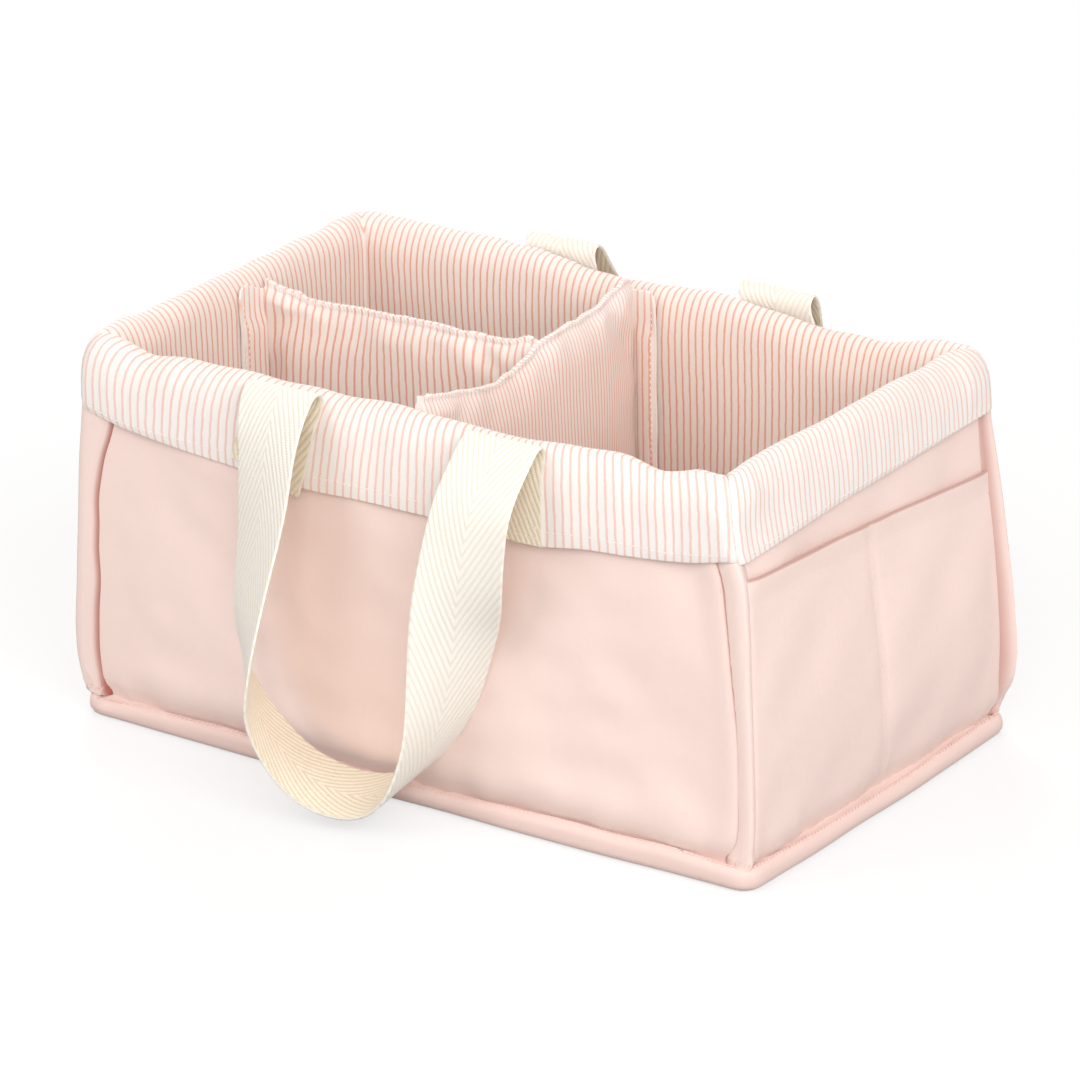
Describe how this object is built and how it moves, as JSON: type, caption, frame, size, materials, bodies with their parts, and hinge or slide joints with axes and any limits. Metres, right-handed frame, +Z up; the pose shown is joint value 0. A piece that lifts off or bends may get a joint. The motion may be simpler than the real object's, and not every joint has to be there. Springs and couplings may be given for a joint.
{
  "type": "diaper caddy",
  "caption": "Soft padded fabric box with a turned-down striped cuff, lift-out dividers held by hook-and-loop tabs, slanted end pockets and two webbing handles.",
  "frame": {"origin": "middle of the underside, on the surface that the caddy stands on", "axes": "+X along the long side towards the right end, -Y towards the long front side, +Z up"},
  "size_m": [0.393, 0.3358, 0.197],
  "materials": {
    "pink_cotton": "matt plain-woven cotton, pale pink",
    "striped_cotton": "matt cotton poplin, off-white with thin pink stripes",
    "wadding": "soft white wadding",
    "board": "plain stiff board",
    "webbing": "natural cotton herringbone webbing",
    "hook_and_loop": "off-white hook-and-loop tape"
  },
  "bodies": {
    "root": {"base_cover": "pink_cotton", "base_board": "board", "floor_padding": "wadding", "floor_lining": "striped_cotton", "front_outer_panel": "pink_cotton", "front_board": "board", "front_padding": "wadding", "front_lining": "striped_cotton", "right_outer_panel": "pink_cotton", "right_board": "board", "right_padding": "wadding", "right_lining": "striped_cotton", "back_outer_panel": "pink_cotton", "back_board": "board", "back_padding": "wadding", "back_lining": "striped_cotton", "left_outer_panel": "pink_cotton", "left_board": "board", "left_padding": "wadding", "left_lining": "striped_cotton", "corner_fold_front_left": "pink_cotton", "corner_fold_front_right": "pink_cotton", "corner_fold_back_right": "pink_cotton", "corner_fold_back_left": "pink_cotton", "right_pocket": "pink_cotton", "left_pocket": "pink_cotton", "front_wall_loop_strip": "hook_and_loop", "back_wall_loop_strip": "hook_and_loop", "left_wall_loop_strip": "hook_and_loop", "front_handle_end_left": "webbing", "front_handle_end_right": "webbing", "back_handle_end_left": "webbing", "back_handle_end_right": "webbing"},
    "front_handle": {"front_handle_loop": "webbing"},
    "back_handle": {"back_handle_loop": "webbing"},
    "cross_divider": {"cross_divider_cover": "striped_cotton", "cross_divider_board": "board", "cross_divider_front_tab": "striped_cotton", "cross_divider_back_tab": "striped_cotton", "cross_divider_front_hook_strip": "hook_and_loop", "cross_divider_back_hook_strip": "hook_and_loop", "cross_divider_loop_strip": "hook_and_loop"},
    "lengthwise_divider": {"lengthwise_divider_cover": "striped_cotton", "lengthwise_divider_board": "board", "lengthwise_divider_wall_tab": "striped_cotton", "lengthwise_divider_inner_tab": "striped_cotton", "lengthwise_divider_wall_hook_strip": "hook_and_loop", "lengthwise_divider_inner_hook_strip": "hook_and_loop"}
  },
  "joints": [
    {"name": "front_handle_swing", "type": "hinge", "parent": "root", "child": "front_handle", "pos_m": [0, -0.1211, 0.19], "axis": [-1, 0, 0], "range_deg": [0, 172]},
    {"name": "back_handle_swing", "type": "hinge", "parent": "root", "child": "back_handle", "pos_m": [0, 0.1211, 0.19], "axis": [1, 0, 0], "range_deg": [0, 172]},
    {"name": "cross_divider_lift", "type": "slide", "parent": "root", "child": "cross_divider", "axis": [0, 0, 1], "range_m": [0, 0.187]},
    {"name": "lengthwise_divider_lift", "type": "slide", "parent": "root", "child": "lengthwise_divider", "axis": [0, 0, 1], "range_m": [0, 0.187]}
  ]
}
